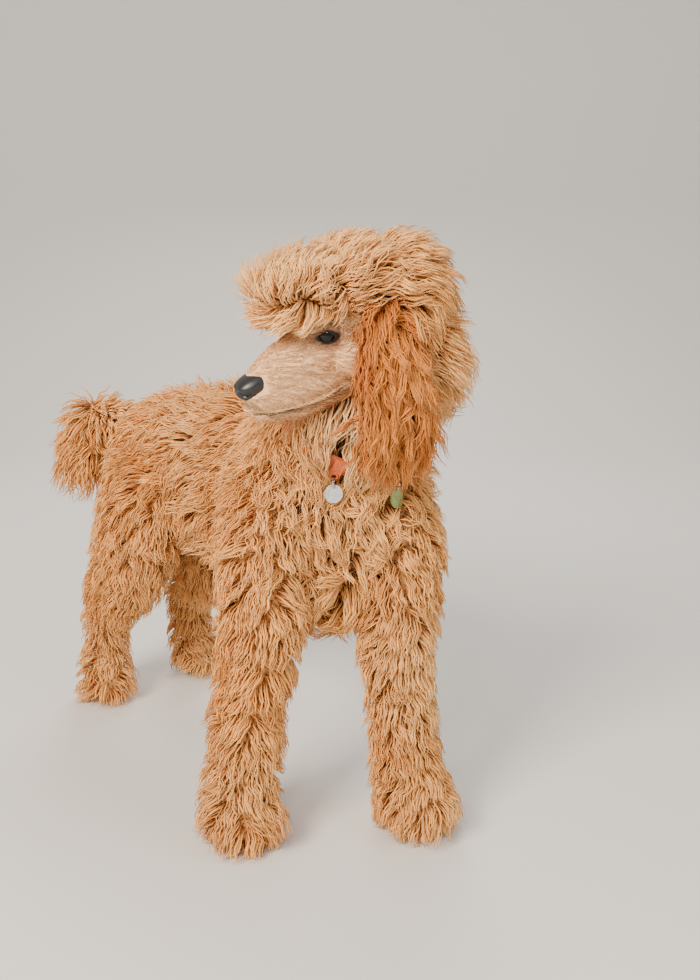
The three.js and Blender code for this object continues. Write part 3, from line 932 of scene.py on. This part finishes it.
def tuft_points(line, normals, thick, rng):
    """The corners of closed tufts of three sides round their lines, each ending in a point."""
    count = len(line)
    rings = len(thick)
    way = unit(np.gradient(line, axis=1))
    flat = unit(np.cross(way, normals[:, None]))
    tall = np.cross(flat, way)
    width = thick[None] * rng.uniform(*THICKNESSES, count)[:, None]
    rim = []
    for corner in range(3):
        angle = 2 * np.pi * corner / 3
        shift = flat[:, :rings] * math.cos(angle) + tall[:, :rings] * math.sin(angle)
        rim.append(line[:, :rings] + shift * width[..., None])
    points = np.concatenate([np.stack(rim, 2).reshape(count, -1, 3), line[:, -1:]], 1)
    points[..., 2] = np.maximum(points[..., 2], WOOL_OFF_FLOOR)
    return points


def tuft_mesh(name, points, faces, corners):
    """One mesh of many tufts that share one pattern of faces."""
    count = len(points)
    each = points.shape[1]
    mesh = bpy.data.meshes.new(name)
    mesh.vertices.add(count * each)
    mesh.vertices.foreach_set("co", to_shared(points).ravel())
    loops = (np.arange(count)[:, None] * each + corners[None]).ravel()
    mesh.loops.add(len(loops))
    mesh.loops.foreach_set("vertex_index", loops)
    sizes = np.tile([len(face) for face in faces], count)
    starts = np.cumsum(np.concatenate([[0], sizes]))[:-1]
    mesh.polygons.add(len(starts))
    mesh.polygons.foreach_set("loop_start", starts)
    mesh.update(calc_edges=True)
    mesh.shade_smooth()
    return mesh


def grow_wool(name, region, count, seed, keep=None, length=1.0, rise=0.9, spread=0.8, half=1.1,
              amp=3.0, wave=22, lock=12, gather=0.75, wander=0.5, short=False):
    """One piece of wool over a region, or over the part of it that keep chooses.

    length and half are the tufts' length and half thickness, rise and spread their slope, amp and
    wave the size of their waves, lock the tufts in a lock, gather and wander how locks draw
    together and turn aside.
    """
    rng = np.random.default_rng(seed)
    s = HAIR_RINGS if short else TUFT_RINGS
    thick = half * (HAIR_THICK if short else TUFT_THICK)
    roots, normals, spots, forms = spread_roots(region, keep, count, rng)
    deep = np.full(count, HAIR_DEEP) if short else depth_over(forms, normals)
    leader = leaders_of(roots, lock, rng)
    lie = combed(region, roots, normals, leader, wander, seed, rng)

    # Each tuft's line rises from the skin, leans over, waves, and draws in to its lock's leader.
    long = deep / (0.8 * rise) * length * rng.uniform(*TUFT_LENGTHS, count)
    long *= rng.uniform(*LOCK_LENGTHS, count)[leader]
    phase = rng.uniform(0, 2 * np.pi, count)[leader] + rng.normal(0, STRAY_PHASE, count)
    swing = amp * rng.uniform(*LOCK_SWINGS, count)[leader]
    up = long[:, None] * rise * (1.6 * s - 0.8 * s**2)
    on = long[:, None] * spread * (0.3 * s + 0.9 * s**2)
    turns = 2 * np.pi * s[None] * long[:, None] / wave + phase[:, None]
    loose = 0.25 + 0.75 * s
    across = swing[:, None] * (np.sin(turns) - np.sin(phase)[:, None]) * loose
    up = up + 0.6 * swing[:, None] * (np.cos(turns) - np.cos(phase)[:, None]) * loose
    line = roots[:, None] + normals[:, None] * up[..., None] + lie[:, None] * on[..., None]
    line += np.cross(normals, lie)[:, None] * across[..., None]
    line += (roots[leader] - roots)[:, None] * (gather * s**1.4)[None, :, None]
    line = kept_in_box(line, roots)
    kept = np.flatnonzero(clear_tufts(line, region))
    line = line[kept]

    # The mesh, its patches on the skin's unwrap and along the strands, and the wool's tones.
    faces, corners, patch = tuft_faces(len(thick))
    points = tuft_points(line, normals[kept], thick, rng)
    each = points.shape[1]
    mesh = tuft_mesh(name, points, faces, corners)
    baked = spots[kept][:, None] + (patch - 0.5) * PATCH_WIDE
    mesh.uv_layers.new(name="OFBake").data.foreach_set("uv", baked.clip(0, 1).ravel())
    strands = patch * STRAND_SIZE + rng.random((len(kept), 1, 2)) * STRAND_SHIFT
    mesh.uv_layers.new(name="strand").data.foreach_set("uv", strands.ravel())
    tips = np.concatenate([np.repeat(s[:-1], 3), [1.0]])
    set_values(mesh, "tip", "FLOAT", np.tile(tips, len(kept)))
    lock_shade = rng.normal(0, 1, count)[leader][kept]
    shade = 0.5 + TUFT_TONE * rng.normal(0, 1, len(kept)) + LOCK_TONE * lock_shade
    set_values(mesh, "shade", "FLOAT", np.repeat(shade.clip(0, 1), each))
    tone = with_alpha(markings_and_eye_shade(line[:, 0], np.full(len(kept), REGIONS.index(region))))
    set_values(mesh, "markings_and_eye_shade", "FLOAT_COLOR", np.repeat(tone, each, axis=0))
    mesh.materials.append(fibre)
    made = linked(name, mesh)
    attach(made, "root")


def behind(y):
    """Chooses points at a place along the dog or behind it."""
    return lambda points: points[:, 1] >= y


def ahead_of(y):
    """Chooses points ahead of a place along the dog."""
    return lambda points: points[:, 1] < y


def beside(way):
    """Chooses points on one side of the dog."""
    return lambda points: (points[:, 0] > 0) == (way > 0)


def both(first, second):
    """Chooses what two choices have in common."""
    return lambda points: first(points) & second(points)


def on_head(choice):
    """The same choice, along or beside the head instead of the dog."""
    return lambda points: choice(to_head(points))


RUMP_FROM = 60
CHEST_FROM = -150
NAPE_FROM = 40
grow_wool("wool_rump", "torso", 4100, 1, behind(RUMP_FROM), half=1.25, wave=21)
grow_wool("wool_back", "torso", 4500, 2, both(ahead_of(RUMP_FROM), behind(CHEST_FROM)),
          half=1.25, wave=21)
grow_wool("wool_chest", "torso", 5600, 3, ahead_of(CHEST_FROM), length=1.1, amp=4.0, wave=19,
          wander=0.7, lock=14)
grow_wool("wool_neck", "neck", 4500, 4, length=1.15, wander=0.45, lock=14)
for number, word in enumerate(("right", "left")):
    way = SIDES[word]
    grow_wool(f"wool_foreleg_{word}", "foreleg", 4700, 5 + number, beside(way), half=1.05,
              amp=2.6, wave=16, spread=0.75, wander=0.32)
    grow_wool(f"wool_hindleg_{word}", "hindleg", 4300, 7 + number, beside(way), amp=2.6, wave=17,
              spread=0.75, wander=0.35)
    grow_wool(f"wool_ear_{word}", "ear", 2600, 9 + number, on_head(beside(way)),
              length=1.3, rise=0.46, spread=0.95, half=0.95, amp=4.4, wave=21, wander=0.4, lock=16)
grow_wool("wool_tail", "tail", 2200, 11, half=1.4, wander=0.3, lock=7)
grow_wool("wool_topknot_front", "crown", 3600, 12, on_head(ahead_of(NAPE_FROM)),
          half=0.95, amp=2.4, wave=28, spread=0.55, wander=0.3, lock=10)
grow_wool("wool_topknot_back", "crown", 3400, 13, on_head(behind(NAPE_FROM)),
          half=1.05, amp=2.8, wave=26, spread=0.7, wander=0.35)
grow_wool("hair_face", "face", 8400, 14, length=0.75, rise=0.28, spread=1.0, half=0.45, amp=0.3,
          wave=9, lock=3, gather=0.2, wander=0.15, short=True)

# The eyes: glossy dark balls, each with a round pupil in a dark amber iris and a clear front that
# swells a little. They sit in the sockets behind the lids and look a little ahead of sideways.
EYE_FINISH = {
    "Roughness": 0.06,
    "Specular IOR Level": 0.25,
    "Coat Weight": 0.12,
    "Coat Roughness": 0.02,
}
IRIS = (
    (0.0, (0.004, 0.003, 0.003)),
    (0.23, (0.004, 0.003, 0.003)),
    (0.27, (0.060, 0.022, 0.008)),
    (0.40, (0.040, 0.014, 0.006)),
    (0.46, (0.008, 0.005, 0.004)),
    (0.60, (0.05, 0.03, 0.022)),
)
EYE_SWELL = 0.02


def set_places(bm, points):
    """Moves a shape's vertices to points of the dog's frame."""
    for vert, place in zip(bm.verts, to_shared(points)):
        vert.co = place


def finished(bm, name):
    """The smooth mesh of a shape that is done."""
    mesh = bpy.data.meshes.new(name)
    bm.to_mesh(mesh)
    bm.free()
    mesh.shade_smooth()
    return mesh


eye_glass, tree, surface = new_material("eye_glass", EYE_FINISH)
tree.links.new(ramp(tree, attribute(tree, "gaze"), IRIS), surface.inputs["Base Color"])
for word, way in SIDES.items():
    bm, local = unit_ball(48, 36)
    centre, axes = eye_frame(way)
    angle = np.arccos(local[:, 2].clip(-1, 1))
    swell = EYE_RADIUS * (1 + EYE_SWELL * (1 - smoothstep(0.4, 1.0, angle)))
    set_places(bm, to_dog(local * swell[:, None] @ axes + centre))
    mesh = finished(bm, f"eyeball_{word}")
    set_values(mesh, "gaze", "FLOAT", angle / np.pi)
    mesh.materials.append(eye_glass)
    ball = linked(f"eyeball_{word}", mesh)
    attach(ball, "root")
    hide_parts(f"eye_{word}")

# The nose: a pad of black pebbled leather, with a groove down its middle and a nostril each side
# that runs out in a slit. It is one rounded block, pressed in from the front and sides, with
# painted shade, near black, inside the nostrils and slits.
NOSE_FINISH = {"Roughness": 0.36, "Specular IOR Level": 0.55}
PEBBLES = ((0.0, (0.019, 0.020, 0.025)), (0.8, (0.006, 0.006, 0.008)))
# Near black painted into the nostrils and slits as their shade.
NOSTRIL_SHADE_BLACK = (0.002, 0.002, 0.002, 1)
NOSE_HALF = (18.2, 21.5, 13.8)
NOSE_SQUARE = 0.78
PHILTRUM_WIDE = 1.2
PHILTRUM_DEEP = 2.2
NOSTRIL_DEEP = 9.5
SLIT_DEEP = 2.4
WING_SWELL = 1.2


def oval_spot(across, wide, up, high):
    """1 at the middle of an oval spot, falling away softly."""
    return np.exp(-((across / wide) ** 2) - (up / high) ** 2)


leather, tree, surface = new_material("nose_leather", NOSE_FINISH)
pebbles = node(tree, "ShaderNodeTexVoronoi", Scale=950.0)
tree.links.new(tree.nodes.new("ShaderNodeTexCoord").outputs["Object"], pebbles.inputs["Vector"])
pebbles = pebbles.outputs["Distance"]
# The pebbled black, turned near black in the nostrils and slits as painted shade.
tone = mixed(tree, "MIX", attribute(tree, "painted_nostril_shade"), ramp(tree, pebbles, PEBBLES), NOSTRIL_SHADE_BLACK)
dress(tree, surface, tone, pebbles, strength=-0.5, distance=0.0005)

# The pad narrows downwards, and its top slopes down to the front.
bm, local = unit_ball(72, 54)
local = np.sign(local) * np.abs(local) ** NOSE_SQUARE * NOSE_HALF
local[:, 0] *= 1 - 0.016 * (5 - local[:, 2]).clip(0, 20)
local[:, 2] += 0.16 * local[:, 1] * smoothstep(-6, 8, local[:, 2])
philtrum = np.exp(-((local[:, 0] / PHILTRUM_WIDE) ** 2)) * smoothstep(2, -5, local[:, 2])
local[:, 1] += PHILTRUM_DEEP * philtrum * (local[:, 1] < 0)
# How far each point lies in a nostril or slit, where shade is painted near black.
painted_nostril_shade = np.zeros(len(local))
for way in SIDES.values():
    x = local[:, 0] * way
    hole = oval_spot(x - 8.6, 3.6, local[:, 2] + 3.0 + 0.2 * (x - 8), 3.4) * (local[:, 1] < -4)
    slit = oval_spot(local[:, 1] + 12, 6.0, local[:, 2] + 4.6, 1.5) * (x > 7) * (local[:, 1] < 2)
    wing = oval_spot(x - 9, 4.5, local[:, 2] - 5.5, 2.6) * (local[:, 1] < 4)
    local[:, 1] += NOSTRIL_DEEP * hole - WING_SWELL * wing
    local[:, 0] -= way * SLIT_DEEP * slit
    painted_nostril_shade = np.maximum(painted_nostril_shade, np.maximum(hole, slit))
set_places(bm, to_dog(local + NOSE_AT))
mesh = finished(bm, "nose_pad")
set_values(mesh, "painted_nostril_shade", "FLOAT", painted_nostril_shade)
mesh.materials.append(leather)
nose_pad = linked("nose_pad", mesh)
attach(nose_pad, "root")
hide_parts("nose")

# The collar: a woven strap round the neck with an orange keeper, a dark buckle, and two blank
# tags on split rings. Strap, keeper, buckle, rings and tags each have a worn finish of their own,
# as a tint, a roughness, a share of metal and the fineness of the wear.
FINISHES = {
    "strap": ((0.52, 0.14, 0.045), 0.85, 0.0, 1400),
    "keeper": ((0.58, 0.11, 0.025), 0.45, 0.0, 500),
    "buckle": ((0.012, 0.012, 0.013), 0.35, 0.0, 500),
    "split_ring": ((0.62, 0.60, 0.57), 0.25, 1.0, 500),
    "tag_grey": ((0.62, 0.62, 0.60), 0.36, 0.6, 500),
    "tag_green": ((0.36, 0.46, 0.16), 0.35, 0.0, 500),
}
WORN = {
    "collar": "strap",
    "collar_keeper": "keeper",
    "collar_buckle": "buckle",
    "tag_ring_grey": "split_ring",
    "tag_ring_green": "split_ring",
    "tag_grey": "tag_grey",
    "tag_green": "tag_green",
}
DARK_WEAR = 0.75
LIGHT_WEAR = 1.2
for slot_name, (tint, rough, metal, fineness) in FINISHES.items():
    sockets = {"Roughness": rough, "Specular IOR Level": 0.45, "Metallic": metal}
    finish, tree, surface = new_material(f"worn_{slot_name}", sockets)
    worn = noise(tree, scale=fineness)
    low = tuple(DARK_WEAR * value for value in tint)
    high = tuple(min(LIGHT_WEAR * value, 1.0) for value in tint)
    tone = ramp(tree, worn, ((0.35, low), (0.65, high)))
    dress(tree, surface, tone, worn, strength=0.4, distance=0.0004)
    for node_name, used in WORN.items():
        if used == slot_name:
            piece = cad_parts[node_name]
            piece.data.materials.clear()
            piece.data.materials.append(finish)

# The setting: a pale seamless floor that curves up behind the dog, three soft lamps and a small
# one that glints in the eye, a dim even sky, and the camera in its place. Sizes are in metres.
AWAY = Vector((0.5736, 0.8192, 0))
RIGHTWARD = Vector((0.8192, -0.5736, 0))
FLOOR_NEAR = -6.0
FLOOR_FAR = 2.2
FLOOR_CURVE = 1.6
FLOOR_HALF = 9
WALL_TOP = (3.85, 5.0)
FLOOR_FINISH = {
    "Roughness": 0.85,
    "Specular IOR Level": 0.2,
    "Base Color": (0.72, 0.70, 0.67, 1),
}
profile = [(FLOOR_NEAR, 0.0), (FLOOR_FAR, 0.0)]
for angle in np.linspace(0.1, 1.5, 12):
    run = FLOOR_FAR + FLOOR_CURVE * math.sin(angle)
    profile.append((run, FLOOR_CURVE - FLOOR_CURVE * math.cos(angle)))
profile.append(WALL_TOP)
bm = bmesh.new()
edge = [bm.verts.new(AWAY * run - RIGHTWARD * FLOOR_HALF + Vector((0, 0, rise)))
        for run, rise in profile]
line = [bm.edges.new(pair) for pair in zip(edge[:-1], edge[1:])]
swept = bmesh.ops.extrude_edge_only(bm, edges=line)["geom"]
far_edge = [part for part in swept if isinstance(part, bmesh.types.BMVert)]
bmesh.ops.translate(bm, verts=far_edge, vec=RIGHTWARD * (2 * FLOOR_HALF))
bmesh.ops.recalc_face_normals(bm, faces=bm.faces)
if sum(face.normal.z for face in bm.faces) < 0:
    bmesh.ops.reverse_faces(bm, faces=bm.faces)
pale, tree, surface = new_material("pale_floor", FLOOR_FINISH)
mesh = finished(bm, "studio_floor")
mesh.materials.append(pale)
floor = linked("studio_floor", mesh)
floor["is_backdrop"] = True

# Each lamp has a place, a size, a power and a tint, and is aimed at the middle of the dog.
LAMPS = [
    ("key", (-2.6, -1.2, 2.3), 1.3, 185, (1.0, 0.89, 0.74)),
    ("fill", (1.6, -2.8, 1.6), 2.4, 34, (0.92, 0.96, 1.0)),
    ("back", (1.4, 2.0, 2.4), 1.6, 60, (1.0, 0.96, 0.90)),
    ("glint", (-0.85, -1.18, 1.18), 0.14, 5, (1.0, 0.95, 0.88)),
]
AIMED_AT = Vector((0, 0, 0.4))
SKY_TINT = (1.0, 0.98, 0.95, 1)
SKY_POWER = 0.62
for name, place, size, power, tint in LAMPS:
    lamp = bpy.data.lights.new(name, "AREA")
    lamp.size = size
    lamp.energy = power
    lamp.color = tint
    holder = linked(name, lamp)
    holder.location = place
    holder.rotation_euler = (AIMED_AT - Vector(place)).to_track_quat("-Z", "Y").to_euler()
world = bpy.data.worlds.new("studio")
world.use_nodes = True
sky = world.node_tree.nodes["Background"]
sky.inputs["Color"].default_value = SKY_TINT
sky.inputs["Strength"].default_value = SKY_POWER
bpy.context.scene.world = world

# The camera stands ahead of the dog's right shoulder, at its head's height, and looks a little
# down, with its three axes given as it was fitted to the picture.
CAMERA_AT = (-0.6960, -1.2859, 0.7500)
CAMERA_UP = Vector((0.1339, 0.1912, 0.9724))
CAMERA_AHEAD = Vector((0.5577, 0.7965, -0.2334))
camera = bpy.data.cameras.new("camera")
camera.lens = 38.57
camera.sensor_width = 36
camera.clip_start = 0.05
viewer = linked("camera", camera)
turn = Matrix((RIGHTWARD, CAMERA_UP, -CAMERA_AHEAD)).transposed()
viewer.matrix_world = Matrix.Translation(CAMERA_AT) @ turn.to_4x4()
bpy.context.scene.camera = viewer

low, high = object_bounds()
